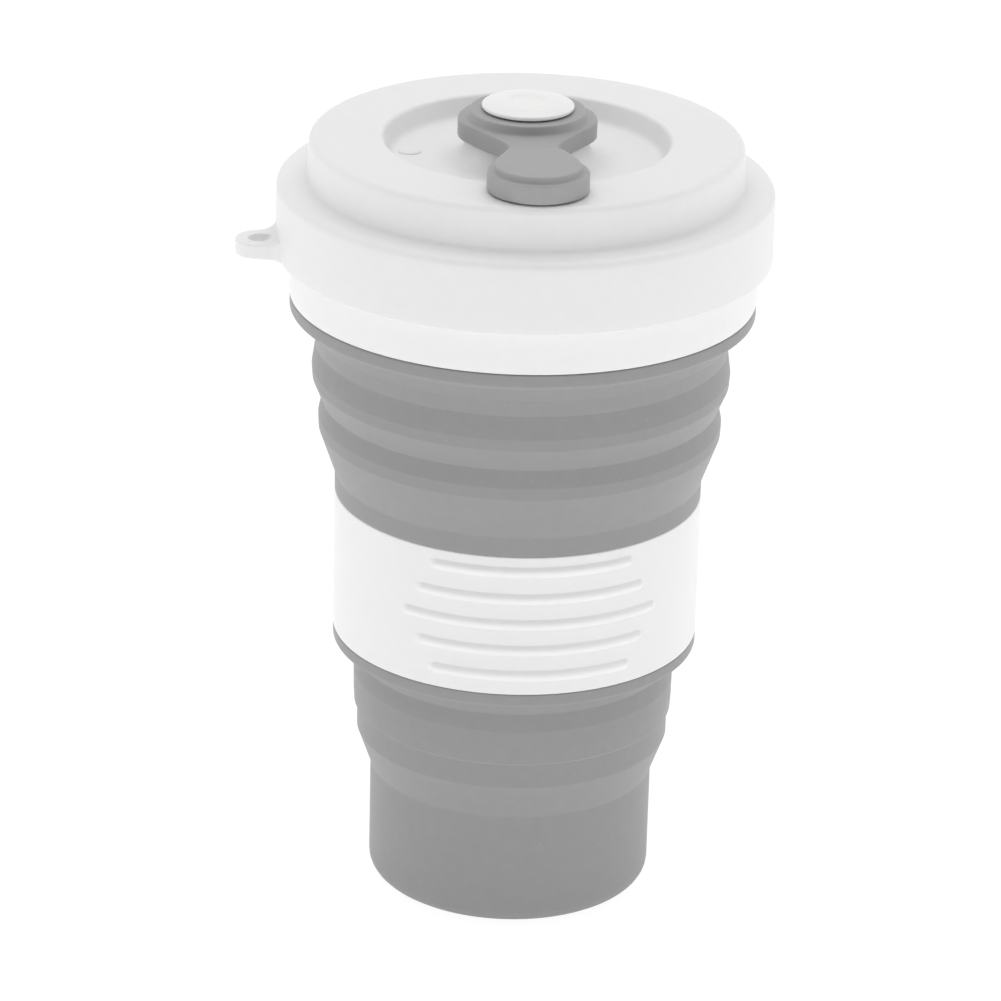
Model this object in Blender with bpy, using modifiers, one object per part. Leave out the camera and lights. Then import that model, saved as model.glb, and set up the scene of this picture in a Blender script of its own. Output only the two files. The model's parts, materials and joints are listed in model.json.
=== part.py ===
"""Collapsible travel cup: a silicone cup that folds flat in two stages, with a hard mouth ring, a hard ribbed grip
sleeve, a press-fit lid with a lanyard tab, and a silicone sip stopper held to the lid by a pivot button.

Metres, +Z up. The origin is the centre of the flat underside. The ribs of the sleeve face -Y, the lanyard tab is near -X,
and the stopper's plug is at -Y. Lengths below are in millimetres and are scaled by MM where they are used.
"""

import math

import bmesh
import bpy
from mathutils import Matrix, Vector

# ---------------------------------------------------------------- driving dimensions, in millimetres
MM = 0.001
STEPS = 40                 # facets round a turned piece
GAP = 0.30                 # what touching pieces keep between them

Z_RING = 130.5             # lower edge of the hard mouth ring
WALL = 1.6                 # silicone wall of the folds

R_BASE = 29.8              # base cup, outside
Z_BASE_TOP = 24.6          # where the base cup ends and the lower folds begin
BASE_WALL = 2.2
BASE_FLOOR = 3.0

R_COLLAR = 38.2            # middle collar, outside
Z_COLLAR_TOP = 91.6        # where the upper folds meet the collar
Z_SLEEVE_TOP = 87.4
Z_SLEEVE_BOTTOM = 56.9
Z_COLLAR_BOTTOM = 54.1
R_SLEEVE = 38.25
R_SLEEVE_IN = 36.6
R_COLLAR_IN = 34.6

RIB_HEIGHTS = (84.1, 78.2, 72.5, 66.8, 61.2)
RIB_HALF_ANGLES = (30.8, 35.4, 40.8, 35.4, 30.6)
RIB_CENTRE_ANGLE = -83.9   # degrees round from +X
RIB_RADIUS = 1.0
RIB_PROUD = 0.6

R_FLANGE = 48.0            # silicone flange under the mouth ring
FLANGE = 2.8
R_RING = 48.0
R_RING_IN = 44.7
RING_TOP = 20.0            # above Z_RING
LINER_OUT = 44.4
LINER_IN = 42.8

LID_TOP = 33.5             # above Z_RING
R_LID_DISC = 44.6
R_SKIRT = 50.9
SKIRT_BOTTOM = 9.4
SHOULDER = 24.4
R_RECESS = 29.4
R_RECESS_FLOOR = 27.6
RECESS_FLOOR = 29.3
LID_WALL = 1.7
R_BOSS = 12.3
R_STEM_HOLE = 3.7

TAB_ANGLE = -173.5         # direction of the lanyard tab, degrees round from +X
TAB_HOLE_AT = 54.2         # from the axis
TAB_HOLE_R = 2.4
TAB_END_R = 5.0
TAB_BOTTOM, TAB_TOP = 9.5, 12.5

STOP_ANGLE = -85.9         # direction of the stopper's arm, degrees round from +X
HUB_R = 14.2
HUB_RING_R = 12.6
HUB_BOTTOM, HUB_TOP, HUB_RING_TOP = 33.85, 37.65, 39.5
NECK_FROM, NECK_TO = 15.8, 20.8   # living hinge, between the hub and the plug, from the pivot
# half widths of the arm at distances from the pivot: it tapers from the hub to the neck and flares into the plug
TAPER = ((2.9, 13.05), (5.8, 11.7), (8.6, 9.85), (11.3, 8.05), (14.0, 6.5), (NECK_FROM, 5.45))
NECK = ((NECK_FROM + GAP, 5.3), (17.4, 4.95), (18.8, 5.2), (NECK_TO - GAP, 5.95))
FLARE = ((NECK_TO, 6.05), (24.0, 7.25), (26.3, 8.1), (28.6, 8.95), (30.2, 9.45))
PLUG_AT = 33.3
PLUG_R = 10.2
PLUG_CAP_R = 8.55
PLUG_CAP_TOP = 38.95
SIP_AT = 34.4
SIP_R = 3.8
BUTTON_R = 9.45
BUTTON_TOP = 41.45

GREY = (0.318, 0.318, 0.323)
WHITE = (0.83, 0.83, 0.82)


# ---------------------------------------------------------------- a clean scene and two collections
for old in list(bpy.data.objects):
    bpy.data.objects.remove(old, do_unlink=True)

PARTS = bpy.data.collections.new("collapsible_travel_cup")
CUTTERS = bpy.data.collections.new("cutters")
bpy.context.scene.collection.children.link(PARTS)
bpy.context.scene.collection.children.link(CUTTERS)


def material(name, colour, roughness):
    m = bpy.data.materials.new(name)
    m.use_nodes = True
    shader = m.node_tree.nodes["Principled BSDF"]
    shader.inputs["Base Color"].default_value = (*colour, 1.0)
    shader.inputs["Roughness"].default_value = roughness
    shader.inputs["Metallic"].default_value = 0.0
    return m


def empty(name, location, parent=None):
    e = bpy.data.objects.new(name, None)
    PARTS.objects.link(e)
    e.location = location
    if parent is not None:
        e.parent = parent
        e.matrix_parent_inverse = parent.matrix_basis.inverted()
    return e


def as_cutter(obj):
    for c in list(obj.users_collection):
        c.objects.unlink(obj)
    CUTTERS.objects.link(obj)
    obj.hide_render = True
    obj.display_type = "WIRE"
    return obj


def rounded(points, parts=3):
    """A polyline with its corners rounded. Each point is (r, z) or (r, z, corner radius)."""
    out = []
    n = len(points)
    for i, p in enumerate(points):
        here = Vector(p[:2])
        radius = p[2] if len(p) > 2 else 0.0
        if radius <= 0 or i in (0, n - 1):
            out.append(here)
            continue
        a = (Vector(points[i - 1][:2]) - here).normalized()
        b = (Vector(points[i + 1][:2]) - here).normalized()
        half = a.angle(b) / 2
        back = radius / math.tan(half)
        start, end = here + a * back, here + b * back
        centre = here + (a + b).normalized() * (radius / math.sin(half))
        s, e = start - centre, end - centre
        turn = s.angle(e)
        for k in range(parts + 1):
            t = k / parts
            w0 = math.sin((1 - t) * turn) / math.sin(turn)
            w1 = math.sin(t * turn) / math.sin(turn)
            out.append(centre + s * w0 + e * w1)
    return out


def profile_mesh(name, points, closed):
    mesh = bpy.data.meshes.new(name)
    verts = [(p[0] * MM, 0.0, p[1] * MM) for p in points]
    edges = [(i, i + 1) for i in range(len(verts) - 1)]
    if closed:
        edges.append((len(verts) - 1, 0))
    mesh.from_pydata(verts, edges, [])
    return mesh


def turned(name, points, mat, closed=True, steps=STEPS, collection=PARTS, sharp=35.0):
    """A turned piece: the profile runs down its outer side, and a Screw modifier takes it round Z."""
    obj = bpy.data.objects.new(name, profile_mesh(name, points, closed))
    collection.objects.link(obj)
    if mat is not None:
        obj.data.materials.append(mat)
    screw = obj.modifiers.new("turn", "SCREW")
    screw.axis = "Z"
    screw.angle = 2 * math.pi
    screw.steps = screw.render_steps = steps
    screw.use_merge_vertices = True
    screw.merge_threshold = 0.00001
    screw.use_smooth_shade = True
    return obj


def outline_solid(name, splines, z0, z1, mat, collection=PARTS):
    """A flat outline, with any holes, drawn as a filled 2D curve, extruded from z0 to z1 and made a mesh."""
    curve = bpy.data.curves.new(name + "_outline", "CURVE")
    curve.dimensions = "2D"
    curve.fill_mode = "BOTH"
    curve.extrude = (z1 - z0) / 2 * MM
    for pts in splines:
        s = curve.splines.new("POLY")
        s.points.add(len(pts) - 1)
        for q, p in zip(s.points, pts):
            q.co = (p[0] * MM, p[1] * MM, 0.0, 1.0)
        s.use_cyclic_u = True
    holder = bpy.data.objects.new(name + "_curve", curve)
    collection.objects.link(holder)
    holder.location = (0.0, 0.0, (z0 + z1) / 2 * MM)
    return mesh_from(holder, name, mat, collection)


def mesh_from(holder, name, mat, collection=PARTS):
    """The evaluated curve as a mesh object with welded caps, in the curve's place."""
    bpy.context.view_layer.update()
    shown = holder.evaluated_get(bpy.context.evaluated_depsgraph_get())
    mesh = bpy.data.meshes.new_from_object(shown)
    bm = bmesh.new()
    bm.from_mesh(mesh)
    bmesh.ops.remove_doubles(bm, verts=bm.verts[:], dist=0.00001)
    bmesh.ops.recalc_face_normals(bm, faces=bm.faces[:])
    bm.to_mesh(mesh)
    bm.free()
    obj = bpy.data.objects.new(name, mesh)
    collection.objects.link(obj)
    obj.matrix_world = holder.matrix_world.copy()
    bpy.data.objects.remove(holder, do_unlink=True)
    obj.data.materials.clear()
    if mat is not None:
        obj.data.materials.append(mat)
    return obj


def boolean(obj, cutter, operation):
    m = obj.modifiers.new(operation.lower() + "_" + cutter.name, "BOOLEAN")
    m.operation = operation
    m.solver = "EXACT"
    m.object = cutter
    return m


def circle(cx, cy, r, n=32, start=0.0):
    return [(cx + r * math.cos(start + 2 * math.pi * i / n), cy + r * math.sin(start + 2 * math.pi * i / n)) for i in range(n)]


def inner_wall(outer, wall):
    """The outer profile, top to bottom, moved in by the wall and turned round to run bottom to top."""
    out = []
    for i, p in enumerate(outer):
        a = outer[max(i - 1, 0)]
        b = outer[min(i + 1, len(outer) - 1)]
        d = Vector((b[0] - a[0], b[1] - a[1])).normalized()
        inward = Vector((d.y, -d.x))          # to the left of the way down, seen with +r to the right
        q = Vector((p[0], p[1])) + inward * wall
        if i in (0, len(outer) - 1):
            q.y = p[1]
        out.append(q)
    return out[::-1]


# ---------------------------------------------------------------- joint axes
to_arm = Vector((math.cos(math.radians(STOP_ANGLE)), math.sin(math.radians(STOP_ANGLE)), 0.0))
HINGE_AT = (NECK_FROM + NECK_TO) / 2
HINGE_Z = Z_RING + (HUB_BOTTOM + HUB_TOP) / 2

base_body = empty("base_body", (0, 0, 0))
collar_body = empty("collar_body", (0, 0, 0), base_body)
rim_body = empty("rim_body", (0, 0, 0), collar_body)
lid_body = empty("lid_body", (0, 0, 0), rim_body)
plug_body = empty("plug_body", (to_arm * HINGE_AT + Vector((0, 0, HINGE_Z))) * MM, None)


def rides(obj, body):
    bpy.context.view_layer.update()
    world = obj.matrix_world.copy()
    obj.parent = body
    obj.matrix_parent_inverse = body.matrix_world.inverted()
    obj.matrix_world = world
    return obj


# ---------------------------------------------------------------- base cup
base_profile = rounded(
    [
        (0.0, BASE_FLOOR),
        (R_BASE - BASE_WALL - 0.3, BASE_FLOOR, 2.6),
        (R_BASE - BASE_WALL, Z_BASE_TOP),
        (R_BASE - 0.05, Z_BASE_TOP),
        (R_BASE, 20.0, 0.0),
        (R_BASE, 0.0, 3.6),
        (0.0, 0.0),
    ],
    parts=4,
)
base_cup = turned("base_cup", base_profile, material("silicone_base", GREY, 0.55), closed=False)
rides(base_cup, base_body)

# ---------------------------------------------------------------- lower folds: two shallow bulges and a cone, thin so they turn inside out
low = [
    (33.7, Z_COLLAR_BOTTOM - GAP),
    (33.1, 50.3),
    (33.25, 46.8),
    (33.8, 45.5),
    (33.85, 42.0),
    (33.8, 39.2),
    (33.0, 38.1),
    (33.05, 33.6),
    (32.4, 31.2),
    (31.2, 28.2),
    (30.1, 25.5),
    (29.8, Z_BASE_TOP + GAP),
]
lower_folds = turned("lower_folds", [Vector(p) for p in low] + inner_wall(low, WALL), material("silicone_lower_folds", GREY, 0.55))
rides(lower_folds, base_body)

# ---------------------------------------------------------------- middle collar, with the seat for the sleeve between its land and its flange
collar_profile = rounded(
    [
        (R_COLLAR, Z_COLLAR_TOP),
        (R_COLLAR, Z_SLEEVE_TOP + GAP, 0.0),
        (R_SLEEVE_IN - GAP, Z_SLEEVE_TOP + GAP),
        (R_SLEEVE_IN - GAP, Z_SLEEVE_BOTTOM - GAP),
        (R_COLLAR, Z_SLEEVE_BOTTOM - GAP),
        (R_COLLAR, Z_COLLAR_BOTTOM, 0.9),
        (32.0, Z_COLLAR_BOTTOM, 0.0),
        (32.2, 55.6, 0.0),
        (R_COLLAR_IN, 58.6, 1.5),
        (R_COLLAR_IN, 86.0, 1.5),
        (R_COLLAR - WALL, 90.2),
        (R_COLLAR - WALL, Z_COLLAR_TOP),
    ]
)
mid_collar = turned("mid_collar", collar_profile, material("silicone_collar", GREY, 0.55))
rides(mid_collar, collar_body)

# ---------------------------------------------------------------- grip sleeve, with five raised ribs
sleeve_profile = rounded(
    [
        (R_SLEEVE - 0.5, Z_SLEEVE_TOP),
        (R_SLEEVE, Z_SLEEVE_TOP, 0.3),
        (R_SLEEVE, Z_SLEEVE_BOTTOM, 0.3),
        (R_SLEEVE_IN, Z_SLEEVE_BOTTOM),
        (R_SLEEVE_IN, Z_SLEEVE_TOP),
    ],
    parts=2,
)
grip_sleeve = turned("grip_sleeve", sleeve_profile, material("plastic_sleeve", WHITE, 0.4))
for number, (z, half) in enumerate(zip(RIB_HEIGHTS, RIB_HALF_ANGLES), 1):
    arc = bpy.data.curves.new(f"rib_{number}_line", "CURVE")
    arc.dimensions = "3D"
    arc.bevel_depth = RIB_RADIUS * MM
    arc.bevel_resolution = 2
    arc.use_fill_caps = True
    line = arc.splines.new("POLY")
    count = 15
    line.points.add(count - 1)
    r = R_SLEEVE + RIB_PROUD - RIB_RADIUS
    for i, q in enumerate(line.points):
        a = math.radians(RIB_CENTRE_ANGLE - half + 2 * half * i / (count - 1))
        q.co = (r * math.cos(a) * MM, r * math.sin(a) * MM, z * MM, 1.0)
    holder = bpy.data.objects.new(f"rib_{number}_curve", arc)
    CUTTERS.objects.link(holder)
    rib = as_cutter(mesh_from(holder, f"rib_{number}", None, CUTTERS))
    boolean(grip_sleeve, rib, "UNION")
rides(grip_sleeve, collar_body)

# ---------------------------------------------------------------- upper folds: two bulges above a cone that runs down to the collar
high = [
    (44.4, Z_RING - FLANGE - GAP),
    (43.4, 124.3),
    (42.75, 121.3),
    (42.6, 119.5),
    (43.0, 117.2),
    (43.3, 115.0),
    (43.2, 112.3),
    (42.2, 109.7),
    (41.35, 107.4),
    (41.8, 105.1),
    (41.95, 103.3),
    (41.6, 100.7),
    (40.3, 97.2),
    (38.35, Z_COLLAR_TOP + GAP),
]
upper_folds = turned("upper_folds", [Vector(p) for p in high] + inner_wall(high, WALL), material("silicone_upper_folds", GREY, 0.55))
rides(upper_folds, collar_body)

# ---------------------------------------------------------------- mouth: silicone flange, liner and lip, and the hard ring held between them
mouth_profile = rounded(
    [
        (46.2, Z_RING + RING_TOP + 1.7),
        (47.5, Z_RING + RING_TOP + 1.7, 0.6),
        (47.5, Z_RING + RING_TOP + GAP, 0.0),
        (LINER_OUT, Z_RING + RING_TOP + GAP),
        (LINER_OUT, Z_RING - 0.15),
        (R_FLANGE, Z_RING - 0.15),
        (R_FLANGE, Z_RING - FLANGE, 1.0),
        (LINER_IN - 0.1, Z_RING - FLANGE),
        (LINER_IN, Z_RING + RING_TOP + 1.7, 0.6),
    ]
)
mouth_collar = turned("mouth_collar", mouth_profile, material("silicone_mouth", GREY, 0.55))
rides(mouth_collar, rim_body)

ring_profile = rounded(
    [
        (R_RING - 0.8, Z_RING + RING_TOP),
        (R_RING, Z_RING + RING_TOP, 0.5),
        (R_RING, Z_RING + 0.15),
        (R_RING_IN, Z_RING + 0.15),
        (R_RING_IN, Z_RING + RING_TOP),
    ],
    parts=2,
)
rim_ring = turned("rim_ring", ring_profile, material("plastic_ring", WHITE, 0.4))
rides(rim_ring, rim_body)

# ---------------------------------------------------------------- lid: raised disc with a round recess and a hollow boss, shoulder, skirt, sip hole, tab
zl = Z_RING
lid_profile = rounded(
    [
        (R_STEM_HOLE, zl + LID_TOP),
        (R_BOSS, zl + LID_TOP, 0.5),
        (R_BOSS + 1.6, zl + RECESS_FLOOR, 2.4),
        (R_RECESS_FLOOR, zl + RECESS_FLOOR, 1.0),
        (R_RECESS, zl + LID_TOP, 0.9),
        (R_LID_DISC - 0.3, zl + LID_TOP, 1.6),
        (R_LID_DISC, zl + SHOULDER, 1.4),
        (R_SKIRT, zl + SHOULDER - 0.3, 1.5),
        (R_SKIRT, zl + SKIRT_BOTTOM, 0.5),
        (R_SKIRT - LID_WALL, zl + SKIRT_BOTTOM, 0.0),
        (48.4, zl + 11.2, 0.0),
        (R_SKIRT - LID_WALL - 0.2, zl + 13.0, 0.0),
        (R_SKIRT - LID_WALL - 0.2, zl + SHOULDER - 2.1, 0.8),
        (R_LID_DISC - LID_WALL, zl + SHOULDER - 1.9, 0.0),
        (R_LID_DISC - LID_WALL - 0.3, zl + LID_TOP - LID_WALL, 0.6),
        (R_RECESS + 1.2, zl + LID_TOP - LID_WALL, 0.0),
        (R_RECESS_FLOOR + 1.1, zl + RECESS_FLOOR - LID_WALL, 0.0),
        (R_BOSS + 0.2, zl + RECESS_FLOOR - LID_WALL, 0.0),
        (R_BOSS - 1.7, zl + LID_TOP - LID_WALL, 0.0),
        (R_STEM_HOLE, zl + LID_TOP - LID_WALL),
    ]
)
lid_shell = turned("lid_shell", lid_profile, material("plastic_lid", WHITE, 0.4))

inner_r = R_SKIRT - 0.9
outline = []
for i in range(7):                                     # along the inside of the skirt's wall
    a = math.radians(10.0 - 20.0 * i / 6)
    outline.append((inner_r * math.cos(a), inner_r * math.sin(a)))
foot_x, foot_y = outline[6]
sweep = []
for k in range(1, 5):                                  # concave sweep out to the round end
    t = k / 5
    sweep.append((foot_x * (1 - t) + TAB_HOLE_AT * t, foot_y * (1 - t) ** 2 - TAB_END_R * (1 - (1 - t) ** 2)))
outline += sweep
for i in range(13):                                    # the round end
    a = math.radians(-90 + 180 * i / 12)
    outline.append((TAB_HOLE_AT + TAB_END_R * math.cos(a), TAB_END_R * math.sin(a)))
outline += [(x, -y) for x, y in sweep[::-1]]
tab = outline_solid("tab", [outline, circle(TAB_HOLE_AT, 0.0, TAB_HOLE_R, 20)], zl + TAB_BOTTOM, zl + TAB_TOP, None, CUTTERS)
tab.matrix_world = Matrix.Rotation(math.radians(TAB_ANGLE), 4, "Z") @ tab.matrix_world
boolean(lid_shell, as_cutter(tab), "UNION")

sip = bpy.data.meshes.new("sip_cutter")
bm = bmesh.new()
bmesh.ops.create_cone(bm, cap_ends=True, segments=24, radius1=SIP_R * MM, radius2=SIP_R * MM, depth=8 * MM)
bm.to_mesh(sip)
bm.free()
sip_cutter = bpy.data.objects.new("sip_cutter", sip)
CUTTERS.objects.link(sip_cutter)
sip_cutter.location = (to_arm * SIP_AT + Vector((0, 0, zl + LID_TOP - 0.5))) * MM
boolean(lid_shell, as_cutter(sip_cutter), "DIFFERENCE")
rides(lid_shell, lid_body)

# ---------------------------------------------------------------- stopper: hub and arm, living hinge, plug
silicone_stopper = material("silicone_stopper", GREY, 0.55)
turn_arm = Matrix.Rotation(math.radians(STOP_ANGLE), 4, "Z")

ring_of_hub = rounded(
    [
        (R_STEM_HOLE, zl + HUB_RING_TOP),
        (HUB_RING_R, zl + HUB_RING_TOP, 0.7),
        (HUB_RING_R, zl + HUB_TOP - 0.6, 0.0),
        (R_STEM_HOLE, zl + HUB_TOP - 0.6),
    ],
    parts=2,
)
flange = [(HUB_R * math.cos(math.radians(92 + 176 * i / 24)), HUB_R * math.sin(math.radians(92 + 176 * i / 24))) for i in range(25)]
flange += [(x, -y) for x, y in TAPER] + [(x, y) for x, y in TAPER[::-1]]
stopper_hub = outline_solid(
    "stopper_hub", [flange, circle(0.0, 0.0, R_STEM_HOLE + 0.05, 24)], zl + HUB_BOTTOM, zl + HUB_TOP, silicone_stopper
)
stopper_hub.matrix_world = turn_arm @ stopper_hub.matrix_world
boolean(stopper_hub, as_cutter(turned("hub_ring", ring_of_hub, silicone_stopper)), "UNION")
rides(stopper_hub, lid_body)

strap_outline = [(x, -y) for x, y in NECK] + [(x, y) for x, y in NECK[::-1]]
stopper_neck = outline_solid("stopper_neck", [strap_outline], zl + HUB_BOTTOM, zl + HUB_TOP, material("silicone_neck", GREY, 0.55))
stopper_neck.matrix_world = turn_arm @ stopper_neck.matrix_world
rides(stopper_neck, lid_body)

plug_profile = rounded(
    [
        (0.0, zl + PLUG_CAP_TOP),
        (PLUG_CAP_R, zl + PLUG_CAP_TOP, 0.9),
        (PLUG_CAP_R, zl + HUB_TOP, 0.0),
        (PLUG_R, zl + HUB_TOP, 0.6),
        (PLUG_R, zl + HUB_BOTTOM - 0.05, 0.4),
        (0.0, zl + HUB_BOTTOM - 0.05),
    ],
    parts=2,
)
stopper_plug = turned("stopper_plug", plug_profile, material("silicone_plug", GREY, 0.55), closed=False)
stopper_plug.matrix_world = Matrix.Translation(to_arm * PLUG_AT * MM) @ stopper_plug.matrix_world
stub = outline_solid("stub", [[(x, -y) for x, y in FLARE] + [(x, y) for x, y in FLARE[::-1]]], zl + HUB_BOTTOM, zl + HUB_TOP - 0.05, None, CUTTERS)
stub.matrix_world = turn_arm @ stub.matrix_world
boolean(stopper_plug, as_cutter(stub), "UNION")
bung = bpy.data.meshes.new("bung")
bm = bmesh.new()
bmesh.ops.create_cone(bm, cap_ends=True, segments=24, radius1=2.0 * MM, radius2=(SIP_R - GAP) * MM, depth=4.3 * MM)
bm.to_mesh(bung)
bm.free()
bung_solid = bpy.data.objects.new("bung_solid", bung)
CUTTERS.objects.link(bung_solid)
bung_solid.location = (to_arm * SIP_AT + Vector((0, 0, zl + HUB_BOTTOM + 0.2 - 2.15))) * MM
boolean(stopper_plug, as_cutter(bung_solid), "UNION")
bpy.context.view_layer.update()
rides(stopper_plug, plug_body)
plug_body.parent = lid_body
plug_body.matrix_parent_inverse = lid_body.matrix_world.inverted()

# ---------------------------------------------------------------- pivot button: cap over the hub, stem through hub and boss, snap head inside the lid
button_profile = rounded(
    [
        (0.0, zl + BUTTON_TOP - 0.35),
        (3.4, zl + BUTTON_TOP - 0.3),
        (4.4, zl + BUTTON_TOP, 0.3),
        (6.4, zl + BUTTON_TOP - 0.1, 0.0),
        (BUTTON_R, zl + BUTTON_TOP - 0.9, 0.5),
        (BUTTON_R - 0.2, zl + HUB_RING_TOP + GAP, 0.2),
        (R_STEM_HOLE - GAP, zl + HUB_RING_TOP + GAP),
        (R_STEM_HOLE - GAP, zl + LID_TOP - LID_WALL - GAP),
        (R_STEM_HOLE + 1.1, zl + LID_TOP - LID_WALL - GAP),
        (R_STEM_HOLE + 0.9, zl + LID_TOP - LID_WALL - 1.3),
        (R_STEM_HOLE - 0.9, zl + LID_TOP - LID_WALL - 2.6),
        (0.0, zl + LID_TOP - LID_WALL - 2.6),
    ],
    parts=2,
)
pivot_button = turned("pivot_button", button_profile, material("plastic_button", WHITE, 0.4), closed=False, steps=32)
rides(pivot_button, lid_body)
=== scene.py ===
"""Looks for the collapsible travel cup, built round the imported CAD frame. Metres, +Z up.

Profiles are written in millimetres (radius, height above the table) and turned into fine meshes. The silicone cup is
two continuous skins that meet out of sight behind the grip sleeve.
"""
import json
import math

import bmesh
import bpy
import numpy as np
from mathutils import Matrix, Vector

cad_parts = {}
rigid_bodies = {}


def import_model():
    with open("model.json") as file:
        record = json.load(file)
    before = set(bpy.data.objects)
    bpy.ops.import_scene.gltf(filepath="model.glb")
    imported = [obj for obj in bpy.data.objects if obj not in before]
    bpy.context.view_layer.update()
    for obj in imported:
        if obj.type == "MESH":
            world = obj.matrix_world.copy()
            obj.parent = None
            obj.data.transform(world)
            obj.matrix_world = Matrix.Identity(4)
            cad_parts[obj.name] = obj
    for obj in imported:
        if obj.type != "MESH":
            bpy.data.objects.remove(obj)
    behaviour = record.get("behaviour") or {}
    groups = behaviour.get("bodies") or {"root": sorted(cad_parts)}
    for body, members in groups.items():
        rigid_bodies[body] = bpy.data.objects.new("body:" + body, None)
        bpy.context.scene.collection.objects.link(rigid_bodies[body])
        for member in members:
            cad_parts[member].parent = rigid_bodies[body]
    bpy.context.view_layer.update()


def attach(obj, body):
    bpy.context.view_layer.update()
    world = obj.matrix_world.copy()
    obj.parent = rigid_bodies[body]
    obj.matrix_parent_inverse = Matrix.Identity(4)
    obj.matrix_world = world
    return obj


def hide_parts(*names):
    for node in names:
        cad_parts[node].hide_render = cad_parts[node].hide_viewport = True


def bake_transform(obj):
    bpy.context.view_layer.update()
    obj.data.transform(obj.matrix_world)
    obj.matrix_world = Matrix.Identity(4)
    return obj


for old in list(bpy.data.objects):
    bpy.data.objects.remove(old, do_unlink=True)

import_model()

MM = 0.001
ZR = 130.5                      # lower edge of the mouth ring, mm above the table
STOP_ANGLE = math.radians(-85.9)
TAB_ANGLE = math.radians(-173.5)
RIB_CENTRE = math.radians(-83.9)
scene = bpy.context.scene


# =============================================================== camera, floor, light
TENT_LEVEL, FRONT_LEVEL = 0.86, 0.40


def add_camera():
    cam = bpy.data.cameras.new("camera")
    obj = bpy.data.objects.new("camera", cam)
    scene.collection.objects.link(obj)
    psi, tilt, roll = -0.0036, 0.3908, 0.0261
    forward = Vector((math.sin(psi) * math.cos(tilt), math.cos(psi) * math.cos(tilt), -math.sin(tilt)))
    right = Vector((math.cos(psi), -math.sin(psi), 0.0))
    up = right.cross(forward)
    right2 = math.cos(roll) * right + math.sin(roll) * up
    up2 = -math.sin(roll) * right + math.cos(roll) * up
    m = Matrix.Identity(4)
    for i in range(3):
        m[i][0], m[i][1], m[i][2] = right2[i], up2[i], -forward[i]
    m.translation = Vector((0.0, -973.9, 354.8 + ZR)) * MM
    obj.matrix_world = m
    cam.sensor_width = 36.0
    cam.lens = 5038.9 / 1001 * 36
    cam.clip_start, cam.clip_end = 0.05, 20
    scene.camera = obj
    return obj


add_camera()


def nodes_of(mat):
    mat.use_nodes = True
    t = mat.node_tree
    return t, t.nodes, t.links, t.nodes["Principled BSDF"]


def floor_material(name, albedo, glow):
    m = bpy.data.materials.new(name)
    t, nodes, links, shader = nodes_of(m)
    shader.inputs["Base Color"].default_value = (albedo, albedo, albedo, 1)
    shader.inputs["Roughness"].default_value = 1.0
    shader.inputs["Specular IOR Level"].default_value = 0.0
    shader.inputs["Emission Color"].default_value = (1, 1, 1, 1)
    shader.inputs["Emission Strength"].default_value = glow
    return m


def add_floor(name, z, albedo, glow):
    bm = bmesh.new()
    bmesh.ops.create_grid(bm, x_segments=1, y_segments=1, size=3.0)
    mesh = bpy.data.meshes.new(name)
    bm.to_mesh(mesh)
    bm.free()
    obj = bpy.data.objects.new(name, mesh)
    scene.collection.objects.link(obj)
    obj.location.z = z
    obj.data.materials.append(floor_material(name, albedo, glow))
    return obj


# the white sweep that is seen, and the matt table under it that sends light back up
seen = add_floor("studio_sweep", -0.0002, 0.14, 0.93)
seen.visible_diffuse = False
seen.visible_glossy = False
seen.visible_shadow = False
table = add_floor("studio_table", -0.0006, 0.90, 0.38)
table.visible_camera = False

backdrop_mesh = bpy.data.meshes.new("studio_backdrop")
bm = bmesh.new()
bmesh.ops.create_cone(bm, cap_ends=True, segments=96, radius1=2.9, radius2=2.9, depth=4.0)
bmesh.ops.reverse_faces(bm, faces=bm.faces[:])
bm.to_mesh(backdrop_mesh)
bm.free()
backdrop = bpy.data.objects.new("studio_backdrop", backdrop_mesh)
scene.collection.objects.link(backdrop)
backdrop.location.z = 1.95
backdrop_mesh.materials.append(floor_material("studio_backdrop", 0.14, 1.0))
for kind in ("visible_diffuse", "visible_glossy", "visible_transmission", "visible_volume_scatter", "visible_shadow"):
    setattr(backdrop, kind, False)

world = bpy.data.worlds.new("studio")
scene.world = world
world.use_nodes = True
wt = world.node_tree
direction = wt.nodes.new("ShaderNodeTexCoord")
parts_xyz = wt.nodes.new("ShaderNodeSeparateXYZ")
wt.links.new(direction.outputs["Generated"], parts_xyz.inputs[0])
front_dim = wt.nodes.new("ShaderNodeMapRange")          # the tent is open towards the viewer's side, so it is dimmer there
front_dim.interpolation_type = "SMOOTHSTEP"
front_dim.inputs["From Min"].default_value, front_dim.inputs["From Max"].default_value = -1.0, 1.0
front_dim.inputs["To Min"].default_value, front_dim.inputs["To Max"].default_value = FRONT_LEVEL, TENT_LEVEL
wt.links.new(parts_xyz.outputs["Y"], front_dim.inputs["Value"])
wt.links.new(front_dim.outputs["Result"], wt.nodes["Background"].inputs["Strength"])
wt.nodes["Background"].inputs["Color"].default_value = (1.0, 1.0, 1.0, 1)


def softbox(name, location, target, size, power, size_y=None):
    light = bpy.data.lights.new(name, "AREA")
    light.shape = "RECTANGLE"
    light.size, light.size_y = size, size_y or size
    light.energy = power
    obj = bpy.data.objects.new(name, light)
    scene.collection.objects.link(obj)
    obj.location = location
    obj.rotation_euler = (Vector(target) - Vector(location)).to_track_quat("-Z", "Y").to_euler()
    return obj


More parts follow.
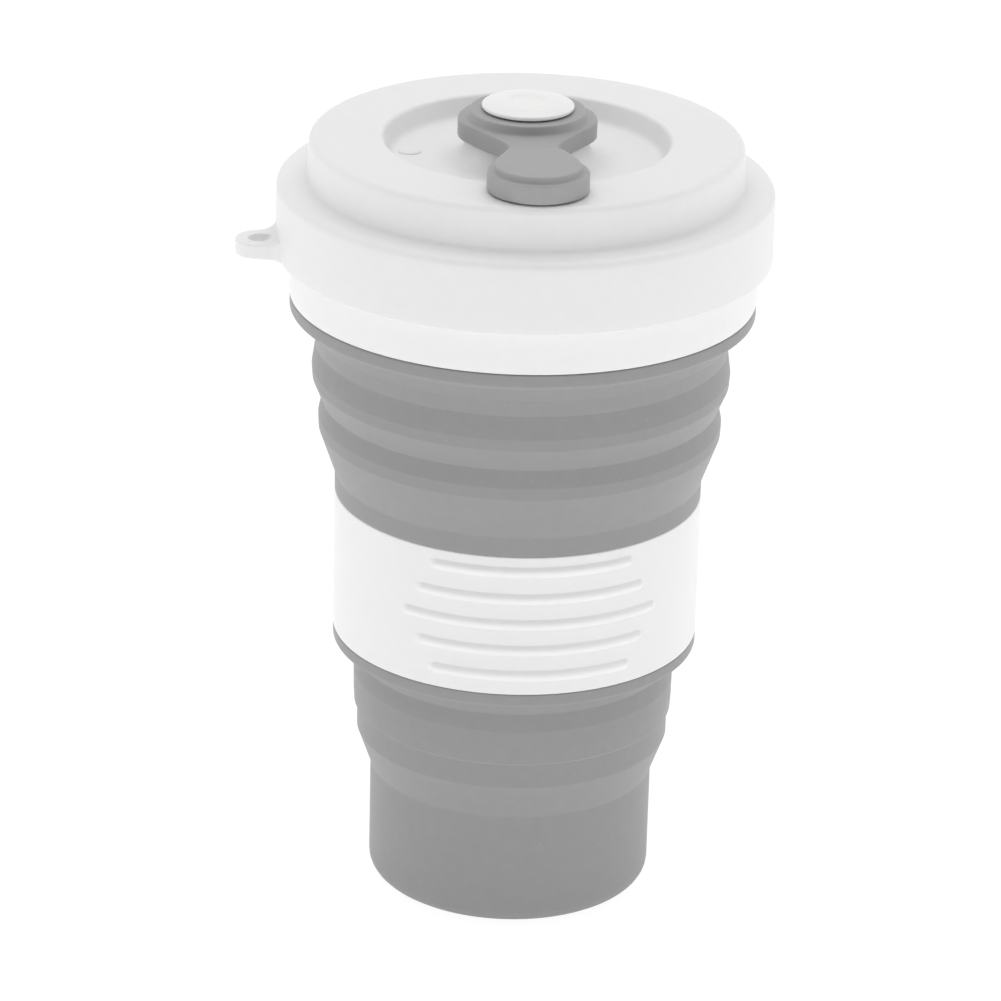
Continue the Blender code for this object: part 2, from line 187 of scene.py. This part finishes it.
softbox("softbox_top", (0.0, 0.22, 1.18), (0, 0, 0.1), 1.15, 4.9)
softbox("softbox_front_low", (0.0, -1.15, 0.085), (0, 0, 0.085), 2.0, 2.8, 0.16)
softbox("softbox_left", (-1.0, 0.15, 0.40), (0, 0, 0.08), 0.9, 1.2, 0.9)
softbox("softbox_right", (1.0, 0.15, 0.40), (0, 0, 0.08), 0.9, 1.2, 0.9)
scene.view_settings.view_transform = "Standard"


# =============================================================== materials
def surface(name, colour, roughness, grain=2600.0, grain_depth=0.00003, grain_strength=0.2, mottle=0.03, mottle_scale=420.0,
            rough_spread=0.05, coat=0.0, sheen=0.0, sheen_rough=0.5, scatter=0.0, scatter_radius=(1, 1, 1), speck=0.0, specular=0.5):
    """A moulded surface: fine grain in the normal, cloudy variation of tone, uneven roughness and sparse specks."""
    m = bpy.data.materials.new(name)
    t, nodes, links, shader = nodes_of(m)
    coord = nodes.new("ShaderNodeTexCoord")

    cloud = nodes.new("ShaderNodeTexNoise")
    cloud.inputs["Scale"].default_value = mottle_scale
    cloud.inputs["Detail"].default_value = 5.0
    links.new(coord.outputs["Object"], cloud.inputs["Vector"])
    tone = nodes.new("ShaderNodeMapRange")
    tone.inputs["From Min"].default_value, tone.inputs["From Max"].default_value = 0.3, 0.7
    tone.inputs["To Min"].default_value, tone.inputs["To Max"].default_value = 1 - mottle, 1 + mottle
    links.new(cloud.outputs["Fac"], tone.inputs["Value"])

    broad = nodes.new("ShaderNodeTexNoise")
    broad.inputs["Scale"].default_value = 38.0
    broad.inputs["Detail"].default_value = 3.0
    links.new(coord.outputs["Object"], broad.inputs["Vector"])
    drift = nodes.new("ShaderNodeMapRange")
    drift.inputs["From Min"].default_value, drift.inputs["From Max"].default_value = 0.3, 0.7
    drift.inputs["To Min"].default_value, drift.inputs["To Max"].default_value = 1 - mottle * 0.6, 1 + mottle * 0.6
    links.new(broad.outputs["Fac"], drift.inputs["Value"])
    both = nodes.new("ShaderNodeMath")
    both.operation = "MULTIPLY"
    links.new(tone.outputs["Result"], both.inputs[0])
    links.new(drift.outputs["Result"], both.inputs[1])
    tint = nodes.new("ShaderNodeVectorMath")
    tint.operation = "SCALE"
    tint.inputs[0].default_value = colour
    links.new(both.outputs[0], tint.inputs["Scale"])
    last = tint.outputs[0]
    if speck > 0:                                      # dust caught on the soft surface
        dots = nodes.new("ShaderNodeTexVoronoi")
        dots.inputs["Scale"].default_value = 330.0
        links.new(coord.outputs["Object"], dots.inputs["Vector"])
        near = nodes.new("ShaderNodeMapRange")
        near.inputs["From Min"].default_value, near.inputs["From Max"].default_value = 0.03, 0.06
        near.inputs["To Min"].default_value, near.inputs["To Max"].default_value = speck, 0.0
        links.new(dots.outputs["Distance"], near.inputs["Value"])
        mix = nodes.new("ShaderNodeMix")
        mix.data_type = "RGBA"
        links.new(near.outputs["Result"], mix.inputs[0])
        links.new(last, mix.inputs[6])
        mix.inputs[7].default_value = (0.75, 0.75, 0.74, 1)
        last = mix.outputs[2]
    links.new(last, shader.inputs["Base Color"])

    uneven = nodes.new("ShaderNodeMapRange")
    uneven.inputs["From Min"].default_value, uneven.inputs["From Max"].default_value = 0.3, 0.7
    uneven.inputs["To Min"].default_value, uneven.inputs["To Max"].default_value = roughness - rough_spread, roughness + rough_spread
    links.new(broad.outputs["Fac"], uneven.inputs["Value"])
    links.new(uneven.outputs["Result"], shader.inputs["Roughness"])

    fine = nodes.new("ShaderNodeTexNoise")
    fine.inputs["Scale"].default_value = grain
    fine.inputs["Detail"].default_value = 2.0
    links.new(coord.outputs["Object"], fine.inputs["Vector"])
    bump = nodes.new("ShaderNodeBump")
    bump.inputs["Strength"].default_value = grain_strength
    bump.inputs["Distance"].default_value = grain_depth
    links.new(fine.outputs["Fac"], bump.inputs["Height"])
    soft = nodes.new("ShaderNodeBump")
    soft.inputs["Strength"].default_value = 0.12
    soft.inputs["Distance"].default_value = 0.0004
    links.new(broad.outputs["Fac"], soft.inputs["Height"])
    links.new(soft.outputs["Normal"], bump.inputs["Normal"])
    links.new(bump.outputs["Normal"], shader.inputs["Normal"])

    shader.inputs["Specular IOR Level"].default_value = specular
    shader.inputs["IOR"].default_value = 1.45
    shader.inputs["Coat Weight"].default_value = coat
    shader.inputs["Coat Roughness"].default_value = 0.25
    shader.inputs["Sheen Weight"].default_value = sheen
    shader.inputs["Sheen Roughness"].default_value = sheen_rough
    if scatter > 0:
        shader.inputs["Subsurface Weight"].default_value = scatter
        shader.inputs["Subsurface Radius"].default_value = scatter_radius
        shader.inputs["Subsurface Scale"].default_value = 0.001
    return m


GREY = (0.293, 0.293, 0.295)
silicone = surface("silicone_grey", GREY, 0.56, grain=2300, grain_depth=0.00004, grain_strength=0.25, mottle=0.02,
                   sheen=0.12, sheen_rough=0.45, speck=0.18)
silicone_stop = surface("silicone_stopper", (0.350, 0.350, 0.352), 0.52, grain=2300, grain_depth=0.00003, grain_strength=0.2, mottle=0.02,
                        sheen=0.12, sheen_rough=0.45, speck=0.10)
lid_white = surface("plastic_lid_white", (0.82, 0.82, 0.82), 0.42, grain=3000, grain_depth=0.00002, grain_strength=0.15, mottle=0.008,
                    scatter=0.10, scatter_radius=(1.5, 1.5, 1.4))
ring_white = surface("plastic_ring_white", (0.86, 0.86, 0.86), 0.36, grain=3000, grain_depth=0.00002, grain_strength=0.12, mottle=0.006,
                     scatter=0.10, scatter_radius=(1.5, 1.5, 1.4))
sleeve_white = surface("plastic_sleeve_white", (0.84, 0.84, 0.84), 0.38, grain=3000, grain_depth=0.00002, grain_strength=0.12, mottle=0.006,
                       scatter=0.10, scatter_radius=(1.5, 1.5, 1.4))
button_white = surface("plastic_button_white", (0.86, 0.86, 0.855), 0.33, grain=3000, grain_depth=0.00001, grain_strength=0.10, mottle=0.005,
                       scatter=0.10, scatter_radius=(1.5, 1.5, 1.4))


# =============================================================== mesh tools
def rounded(points, parts=6):
    """A polyline with rounded corners. Each point is (r, z) or (r, z, corner radius), in millimetres."""
    out = []
    n = len(points)
    for i, p in enumerate(points):
        here = np.array(p[:2], float)
        radius = p[2] if len(p) > 2 else 0.0
        if radius <= 0 or i in (0, n - 1):
            out.append(here)
            continue
        a = np.array(points[i - 1][:2], float) - here
        b = np.array(points[i + 1][:2], float) - here
        la, lb = np.linalg.norm(a), np.linalg.norm(b)
        a, b = a / la, b / lb
        half = math.acos(float(np.clip(a @ b, -1, 1))) / 2
        if half > math.radians(89.5):
            out.append(here)
            continue
        back = min(radius / math.tan(half), la * 0.49, lb * 0.49)
        radius = back * math.tan(half)
        centre = here + (a + b) / np.linalg.norm(a + b) * (radius / math.sin(half))
        s, e = here + a * back - centre, here + b * back - centre
        turn = math.acos(float(np.clip(s @ e / (radius * radius), -1, 1)))
        for k in range(parts + 1):
            w = k / parts
            out.append(centre + (s * math.sin((1 - w) * turn) + e * math.sin(w * turn)) / math.sin(turn))
    return out


def densify(points, longest, closed=True):
    out = []
    n = len(points)
    for i in range(n if closed else n - 1):
        a, b = np.array(points[i], float), np.array(points[(i + 1) % n], float)
        k = max(1, int(math.ceil(np.linalg.norm(b - a) / longest)))
        for j in range(k):
            out.append(a + (b - a) * j / k)
    if not closed:
        out.append(np.array(points[-1], float))
    return out


def lathe(name, points, mat, angles=256, closed=True, shape=None, sharp=38.0):
    """Turns a profile round Z. The profile runs down its outer side. An open one starts and ends on the axis."""
    pts = np.array([p[:2] for p in points], float)
    th = np.linspace(0, 2 * math.pi, angles, endpoint=False) if np.isscalar(angles) else np.array(angles, float)
    na, n = len(th), len(pts)
    r = np.repeat(pts[:, 0][:, None], na, 1)
    z = np.repeat(pts[:, 1][:, None], na, 1)
    a = np.repeat(th[None, :], n, 0)
    if shape is not None:
        r, z = shape(r, z, a)
    co = np.stack([r * np.cos(a), r * np.sin(a), z], -1).reshape(-1, 3) * MM
    verts = co.tolist()
    faces = []
    rows = range(n) if closed else range(n - 1)
    on_axis = (pts[:, 0] < 1e-6) & (not closed)
    for i in rows:
        j = (i + 1) % n
        for k in range(na):
            m = (k + 1) % na
            a0, a1, b0, b1 = i * na + k, i * na + m, j * na + k, j * na + m
            if on_axis[i]:
                faces.append((i * na, b0, b1))
            elif on_axis[j]:
                faces.append((a0, j * na, a1))
            else:
                faces.append((a0, b0, b1, a1))
    me = bpy.data.meshes.new(name)
    me.from_pydata(verts, [], faces)
    bm = bmesh.new()
    bm.from_mesh(me)
    bmesh.ops.delete(bm, geom=[v for v in bm.verts if not v.link_faces], context="VERTS")
    bm.to_mesh(me)
    bm.free()
    return finished(name, me, mat, sharp)


def finished(name, me, mat, sharp=38.0):
    me.shade_smooth()
    me.set_sharp_from_angle(angle=math.radians(sharp))
    obj = bpy.data.objects.new(name, me)
    scene.collection.objects.link(obj)
    obj.data.materials.append(mat)
    return obj


def offset(points, d):
    """The polyline moved d to the left of its way down, which is inwards."""
    p = np.array(points, float)
    t = np.zeros_like(p)
    t[1:-1] = p[2:] - p[:-2]
    t[0], t[-1] = p[1] - p[0], p[-1] - p[-2]
    t /= np.linalg.norm(t, axis=1, keepdims=True)
    return p + np.stack([t[:, 1], -t[:, 0]], 1) * d


def apply_modifiers(obj):
    bpy.context.view_layer.update()
    shown = obj.evaluated_get(bpy.context.evaluated_depsgraph_get())
    me = bpy.data.meshes.new_from_object(shown)
    old = obj.data
    obj.modifiers.clear()
    obj.data = me
    bpy.data.meshes.remove(old)
    return obj


def prism(name, splines, z0, z1):
    curve = bpy.data.curves.new(name, "CURVE")
    curve.dimensions = "2D"
    curve.fill_mode = "BOTH"
    curve.extrude = (z1 - z0) / 2 * MM
    for pts in splines:
        s = curve.splines.new("POLY")
        s.points.add(len(pts) - 1)
        for q, p in zip(s.points, pts):
            q.co = (p[0] * MM, p[1] * MM, 0.0, 1.0)
        s.use_cyclic_u = True
    holder = bpy.data.objects.new(name + "_outline", curve)
    scene.collection.objects.link(holder)
    bpy.context.view_layer.update()
    me = bpy.data.meshes.new_from_object(holder.evaluated_get(bpy.context.evaluated_depsgraph_get()))
    bm = bmesh.new()
    bm.from_mesh(me)
    bmesh.ops.remove_doubles(bm, verts=bm.verts[:], dist=1e-6)
    bmesh.ops.translate(bm, verts=bm.verts[:], vec=(0, 0, (z0 + z1) / 2 * MM))
    bmesh.ops.recalc_face_normals(bm, faces=bm.faces[:])
    bm.to_mesh(me)
    bm.free()
    bpy.data.objects.remove(holder, do_unlink=True)
    obj = bpy.data.objects.new(name, me)
    scene.collection.objects.link(obj)
    return obj


def boolean(obj, other, operation):
    m = obj.modifiers.new(operation.lower(), "BOOLEAN")
    m.operation = operation
    m.solver = "EXACT"
    m.object = other
    apply_modifiers(obj)
    bpy.data.objects.remove(other, do_unlink=True)
    return obj


def joined(objs):
    """One mesh object from several, with overlapping shells left for a voxel remesh to merge."""
    bm = bmesh.new()
    for o in objs:
        me = o.data.copy()
        me.transform(o.matrix_world)
        bm.from_mesh(me)
        bpy.data.meshes.remove(me)
    me = bpy.data.meshes.new(objs[0].name)
    bm.to_mesh(me)
    bm.free()
    name = objs[0].name
    for o in objs:
        bpy.data.objects.remove(o, do_unlink=True)
    obj = bpy.data.objects.new(name, me)
    scene.collection.objects.link(obj)
    return obj


def softened(obj, voxel, rounds, factor=0.5):
    """Merges overlapping shells and rounds every edge, the way moulded silicone comes out."""
    m = obj.modifiers.new("merge", "REMESH")
    m.mode = "VOXEL"
    m.voxel_size = voxel * MM
    m.adaptivity = 0.0
    s = obj.modifiers.new("soften", "SMOOTH")
    s.factor = factor
    s.iterations = rounds
    return apply_modifiers(obj)


def circle(cx, cy, r, n=96):
    return [(cx + r * math.cos(2 * math.pi * i / n), cy + r * math.sin(2 * math.pi * i / n)) for i in range(n)]


# =============================================================== silicone cup: outer and inner profiles
outer_high = rounded(
    [
        (45.9, ZR + 21.7),
        (47.5, ZR + 21.7, 0.7),
        (47.5, ZR + 20.05, 0.2),
        (44.45, ZR + 20.05, 0.3),
        (44.45, ZR - 0.05, 0.2),
        (47.95, ZR - 0.05, 0.35),
        (47.95, ZR - 2.9, 0.8),
        (46.3, ZR - 3.3, 0.8),
        (44.2, ZR - 4.5, 1.4),
        (43.2, ZR - 7.3, 0.9),
        (42.55, ZR - 10.9, 0.5),
        (43.25, ZR - 15.7, 0.6),
        (43.1, ZR - 18.1, 0.55),
        (41.05, ZR - 23.0, 0.45),
        (41.8, ZR - 26.7, 0.6),
        (41.7, ZR - 29.2, 0.7),
        (38.25, ZR - 38.9, 1.6),
        (38.2, ZR - 43.1, 0.25),
        (36.5, ZR - 43.1, 0.3),
        (36.5, 57.95),
    ],
    parts=7,
)
outer_low = rounded(
    [
        (36.5, 57.9),
        (36.5, ZR - 73.6, 0.3),
        (38.2, ZR - 73.6, 0.35),
        (38.2, ZR - 76.4, 0.8),
        (34.6, ZR - 76.7, 0.6),
        (33.2, ZR - 80.3, 0.8),
        (33.72, ZR - 84.1, 0.5),
        (33.65, ZR - 88.5, 1.0),
        (33.5, ZR - 91.4, 0.35),
        (32.8, ZR - 92.0, 0.3),
        (32.85, ZR - 97.2, 0.6),
        (29.85, ZR - 105.4, 1.3),
        (29.8, 0.0, 3.6),
        (0.0, 0.0),
    ],
    parts=7,
)

WALL = 1.6
fold_high = [p for p in outer_high if p[1] < ZR - 3.4 and p[1] > ZR - 43.0 and p[0] > 37.0]
inner_high = offset(densify(fold_high, 0.7, closed=False), WALL)
inner_high = [q for q in inner_high if ZR - 40.6 < q[1] < ZR - 5.0]
inner_up = [np.array(p) for p in rounded(
    [(34.6, 57.95), (34.6, 85.6, 2.0), (inner_high[-1][0] - 0.1, 89.0, 1.5), tuple(inner_high[-1])], parts=6)]
inner_up += list(inner_high[::-1])[1:]
inner_up += [np.array(p) for p in rounded([tuple(inner_high[0]), (42.8, ZR - 3.2, 1.5), (42.8, ZR + 21.7, 0.7), (44.0, ZR + 21.7)], parts=6)][1:]
upper_loop = densify(list(outer_high) + inner_up, 0.75)

fold_low = [p for p in outer_low if p[1] < ZR - 77.4 and p[1] > 24.0]
inner_low = offset(densify(fold_low, 0.7, closed=False), WALL)
inner_low = [q for q in inner_low if 26.4 < q[1] < ZR - 78.0]
inner_base = rounded([(0.0, 3.0), (27.6, 3.0, 2.6), (27.75, 22.5, 1.2), tuple(inner_low[-1])], parts=7)
inner_dn = [np.array(p) for p in inner_base] + list(inner_low[::-1])[1:]
inner_dn += [np.array(p) for p in rounded([tuple(inner_low[0]), (32.2, 55.0, 0.8), (34.55, 57.9)], parts=5)][1:]
lower_line = densify(inner_dn + list(outer_low), 0.75, closed=False)

cup_upper = lathe("silicone_cup_upper", upper_loop, silicone, angles=192)
cup_lower = lathe("silicone_cup_lower", lower_line, silicone, closed=False)
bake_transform(cup_upper)
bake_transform(cup_lower)
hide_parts("upper_folds", "mouth_collar")
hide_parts("base_cup", "lower_folds", "mid_collar")

# =============================================================== mouth ring
ring = lathe(
    "mouth_ring",
    densify(rounded([
        (46.0, ZR + 19.95), (48.0, ZR + 19.95, 0.6), (48.0, ZR + 0.05, 0.4), (44.55, ZR + 0.05, 0.3), (44.55, ZR + 19.95, 0.3), (46.0, ZR + 19.95),
    ], parts=6)[:-1], 2.5),
    ring_white,
)
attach(ring, "rim")
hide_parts("rim_ring")

# =============================================================== grip sleeve with its five ribs
RIB_Z = np.array((84.1, 78.2, 72.5, 66.8, 61.2))
RIB_HALF = np.radians((30.8, 35.4, 40.8, 35.4, 30.6))
RIB_W, RIB_H = 1.2, 0.55


def ribs(r, z, a):
    turn = np.abs((a - RIB_CENTRE + math.pi) % (2 * math.pi) - math.pi)
    h = np.zeros_like(r)
    for zc, half in zip(RIB_Z, RIB_HALF):
        along = np.maximum(0.0, turn - half) * 38.25
        d2 = ((z - zc) ** 2 + along ** 2) / RIB_W ** 2
        h = np.maximum(h, RIB_H * np.clip(1 - d2, 0, 1) ** 1.3)
    return r + np.where(r > 38.0, h, 0.0), z


zs = {round(float(v), 3) for v in np.linspace(57.6, 86.7, 33)}
for zc in RIB_Z:
    zs |= {round(float(zc + v), 3) for v in np.concatenate([np.linspace(-1.3, 1.3, 19), [-1.15, -1.1, -1.05, 1.05, 1.1, 1.15]])}
side = [(38.25, v) for v in sorted(zs, reverse=True)]
sleeve_loop = rounded([(37.2, 87.38), (38.25, 87.38, 0.4), side[0]], parts=5)[:-1] + side + rounded(
    [side[-1], (38.25, 56.92, 0.4), (36.6, 56.92, 0.3), (36.6, 87.38, 0.3), (37.2, 87.38)], parts=5)[1:-1]
th = {round(float(v), 5) for v in np.radians(np.arange(0, 360, 1.5))}
for half in RIB_HALF:
    for s in (-1, 1):
        th |= {round(float((RIB_CENTRE + s * half + math.radians(v)) % (2 * math.pi)), 5) for v in np.arange(-0.6, 2.2, 0.2)}
sleeve = lathe("grip_sleeve_ribbed", sleeve_loop, sleeve_white, angles=sorted(th), shape=ribs, sharp=50)
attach(sleeve, "collar")
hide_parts("grip_sleeve")

# =============================================================== lid
lid_loop = densify(rounded(
    [
        (3.7, ZR + 33.5),
        (12.2, ZR + 33.5, 0.8),
        (13.8, ZR + 29.3, 3.0),
        (27.6, ZR + 29.3, 1.5),
        (29.35, ZR + 33.5, 1.0),
        (44.3, ZR + 33.5, 1.6),
        (44.75, ZR + 24.6, 0.8),
        (50.9, ZR + 24.2, 1.7),
        (50.9, ZR + 9.4, 0.3),
        (49.2, ZR + 9.4, 0.3),
        (48.35, ZR + 11.2, 0.5),
        (49.0, ZR + 13.2, 0.5),
        (49.0, ZR + 22.3, 0.8),
        (42.9, ZR + 22.5, 1.2),
        (42.6, ZR + 31.8, 0.8),
        (30.6, ZR + 31.8, 1.0),
        (28.7, ZR + 27.6, 1.2),
        (12.5, ZR + 27.6, 0.8),
        (10.6, ZR + 31.8, 0.8),
        (3.7, ZR + 31.8),
    ],
    parts=7,
), 1.3)
lid = lathe("lid_with_tab", lid_loop, lid_white)

TAB_X, TAB_R = 54.2, 5.0
edge = []
for i in range(17):
    a = math.radians(11.5 - 23.0 * i / 16)
    edge.append((50.1 * math.cos(a), 50.1 * math.sin(a)))
foot_x, foot_y = edge[-1]
sweep = []
for k in range(1, 12):
    t = k / 12
    sweep.append((foot_x * (1 - t) + TAB_X * t, foot_y * (1 - t) ** 2.4 - TAB_R * (1 - (1 - t) ** 2.4)))
edge += sweep
for i in range(41):
    a = math.radians(-90 + 180 * i / 40)
    edge.append((TAB_X + TAB_R * math.cos(a), TAB_R * math.sin(a)))
edge += [(x, -y) for x, y in sweep[::-1]]
tab = prism("tab_shape", [edge, circle(TAB_X, 0.0, 2.25, 48)], ZR + 9.45, ZR + 12.5)
tab = softened(tab, 0.2, 6)
co = np.array([v.co for v in tab.data.vertices], float)
out = np.hypot(co[:, 0], co[:, 1]) / MM - 50.9
top = (co[:, 2] / MM - (ZR + 9.45)) / 3.05
co[:, 2] += np.where(out > -1.2, 1.3 * np.exp(-np.clip(out, 0, None) / 0.9) * np.clip(top, 0, 1) ** 2, 0) * MM
tab.data.vertices.foreach_set("co", co.ravel())
tab.data.update()
tab.data.transform(Matrix.Rotation(TAB_ANGLE, 4, "Z"))
boolean(lid, tab, "UNION")

bm = bmesh.new()
bmesh.ops.create_cone(bm, cap_ends=True, segments=64, radius1=3.8 * MM, radius2=3.8 * MM, depth=8 * MM)
me = bpy.data.meshes.new("sip_cut")
bm.to_mesh(me)
bm.free()
cut = bpy.data.objects.new("sip_cut", me)
scene.collection.objects.link(cut)
cut.location = Vector((34.4 * math.cos(STOP_ANGLE), 34.4 * math.sin(STOP_ANGLE), ZR + 33.0)) * MM
boolean(lid, cut, "DIFFERENCE")

bm = bmesh.new()
bmesh.ops.create_uvsphere(bm, u_segments=40, v_segments=24, radius=1.0)
bmesh.ops.scale(bm, verts=bm.verts[:], vec=(2.4 * MM, 2.2 * MM, 0.5 * MM))
me = bpy.data.meshes.new("vent_nub")
bm.to_mesh(me)
bm.free()
nub = bpy.data.objects.new("vent_nub", me)
scene.collection.objects.link(nub)
nub.location = Vector((-23.9, 1.3, ZR + 29.35)) * MM
boolean(lid, nub, "UNION")
lid.data.shade_smooth()
lid.data.set_sharp_from_angle(angle=math.radians(38))
if not lid.data.materials:
    lid.data.materials.append(lid_white)
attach(lid, "lid")
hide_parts("lid_shell")

# =============================================================== stopper, one soft moulding
turn_arm = Matrix.Rotation(STOP_ANGLE, 4, "Z")
HUB_R, PLUG_AT, PLUG_R = 14.2, 33.3, 10.2
half_width = [(0.0, 14.2), (2.0, 14.0), (4.0, 13.3), (6.2, 12.0), (8.8, 10.1), (11.5, 8.3), (14.2, 6.7), (16.4, 5.5), (18.2, 5.0), (19.6, 5.15),
              (21.3, 5.85), (24.2, 7.2), (26.4, 8.15), (28.6, 9.0), (30.9, 9.8), (PLUG_AT, PLUG_R)]


def through(points, steps=6):
    """A smooth curve through the points."""
    p = [np.array(q, float) for q in points]
    p = [2 * p[0] - p[1]] + p + [2 * p[-1] - p[-2]]
    out = []
    for i in range(1, len(p) - 2):
        for k in range(steps):
            t = k / steps
            out.append(tuple(0.5 * (2 * p[i] + (p[i + 1] - p[i - 1]) * t + (2 * p[i - 1] - 5 * p[i] + 4 * p[i + 1] - p[i + 2]) * t ** 2
                                    + (3 * p[i] - 3 * p[i + 1] + p[i + 2] - p[i - 1]) * t ** 3)))
    out.append(tuple(p[-2]))
    return out


side_line = through(half_width)
outline = [(HUB_R * math.cos(math.radians(90 + 180 * i / 60)), HUB_R * math.sin(math.radians(90 + 180 * i / 60))) for i in range(1, 60)]
outline += [(x, -y) for x, y in side_line]
outline += [(PLUG_AT + PLUG_R * math.sin(math.pi * i / 60), -PLUG_R * math.cos(math.pi * i / 60)) for i in range(1, 60)]
outline += [(x, y) for x, y in side_line[::-1]]
plate = prism("stopper_shape", [outline], ZR + 33.82, ZR + 37.68)
CAP_FROM, CAP_IN = 23.6, 1.55
cap_line = [(x, y - CAP_IN) for x, y in side_line if x >= CAP_FROM]
cap_outline = [(x, -y) for x, y in cap_line]
cap_outline += [(PLUG_AT + (PLUG_R - CAP_IN) * math.sin(math.pi * i / 60), -(PLUG_R - CAP_IN) * math.cos(math.pi * i / 60)) for i in range(1, 60)]
cap_outline += [(x, y) for x, y in cap_line[::-1]]
cap = prism("plug_cap", [cap_outline], ZR + 35.0, ZR + 38.97)


def disc(name, cx, r, z0, z1, taper=0.0):
    bm = bmesh.new()
    bmesh.ops.create_cone(bm, cap_ends=True, segments=128, radius1=r * MM, radius2=(r - taper) * MM, depth=(z1 - z0) * MM)
    me = bpy.data.meshes.new(name)
    bm.to_mesh(me)
    bm.free()
    o = bpy.data.objects.new(name, me)
    scene.collection.objects.link(o)
    o.location = Vector((cx, 0, (z0 + z1) / 2)) * MM
    bpy.context.view_layer.update()
    return o


stopper = joined([
    plate,
    disc("hub_ring", 0, 12.9, ZR + 35.0, ZR + 39.52, 1.1),
    cap,
    disc("bung", 34.4, 2.1, ZR + 29.75, ZR + 34.6, -1.35),
])
stopper = softened(stopper, 0.2, 8)
stopper.name = stopper.data.name = "silicone_stopper_moulding"
stopper.data.transform(turn_arm)
bm = bmesh.new()
bmesh.ops.create_cone(bm, cap_ends=True, segments=64, radius1=3.6 * MM, radius2=3.6 * MM, depth=12 * MM)
me = bpy.data.meshes.new("stem_cut")
bm.to_mesh(me)
bm.free()
cut = bpy.data.objects.new("stem_cut", me)
scene.collection.objects.link(cut)
cut.location = (0, 0, (ZR + 36.5) * MM)
boolean(stopper, cut, "DIFFERENCE")
stopper.data.materials.clear()
stopper.data.materials.append(silicone_stop)
stopper.data.shade_smooth()
stopper.data.set_sharp_from_angle(angle=math.radians(60))
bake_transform(stopper)
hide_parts("stopper_hub", "stopper_neck", "stopper_plug")

# =============================================================== pivot button
button = lathe(
    "pivot_button_cap",
    densify(rounded([
        (0.0, ZR + 41.1), (3.0, ZR + 41.13, 1.0), (4.1, ZR + 41.45, 0.8), (6.6, ZR + 41.35, 2.0), (9.45, ZR + 40.6, 0.55), (9.35, ZR + 39.85, 0.25),
        (3.4, ZR + 39.8, 0.2), (3.4, ZR + 31.5, 0.2), (4.8, ZR + 31.5, 0.2), (4.6, ZR + 30.5, 0.3), (2.8, ZR + 29.2, 0.3), (0.0, ZR + 29.2),
    ], parts=6), 1.2, closed=False),
    button_white, angles=160, closed=False,
)
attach(button, "lid")
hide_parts("pivot_button")

# =============================================================== the end
bpy.context.view_layer.update()
